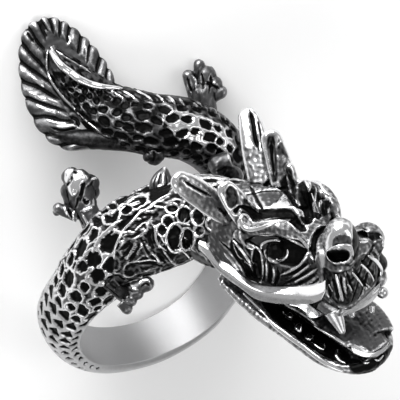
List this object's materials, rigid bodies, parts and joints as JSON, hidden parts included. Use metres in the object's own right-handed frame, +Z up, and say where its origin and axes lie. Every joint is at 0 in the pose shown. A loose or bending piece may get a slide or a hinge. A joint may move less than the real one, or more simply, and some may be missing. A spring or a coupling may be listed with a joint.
{
  "type": "dragon ring",
  "caption": "Cast steel finger ring shaped as a horned dragon: the tail crosses over the finger and ends in a ribbed fan beside an open-jawed head; lies on its side.",
  "frame": {"origin": "middle of the bounding box at its lowest level, where the ring lies on a table", "axes": "+Z up from the table; the fan and the hind foot rest on it with the band's edge, the head is uppermost; -Y is the side from which the head is seen"},
  "size_m": [0.034, 0.0372, 0.0344],
  "materials": {
    "steel": "cast stainless steel, polished high spots over blackened recesses, satin inside the bore"
  },
  "bodies": {
    "root": {"dragon_ring": "steel"}
  },
  "joints": []
}
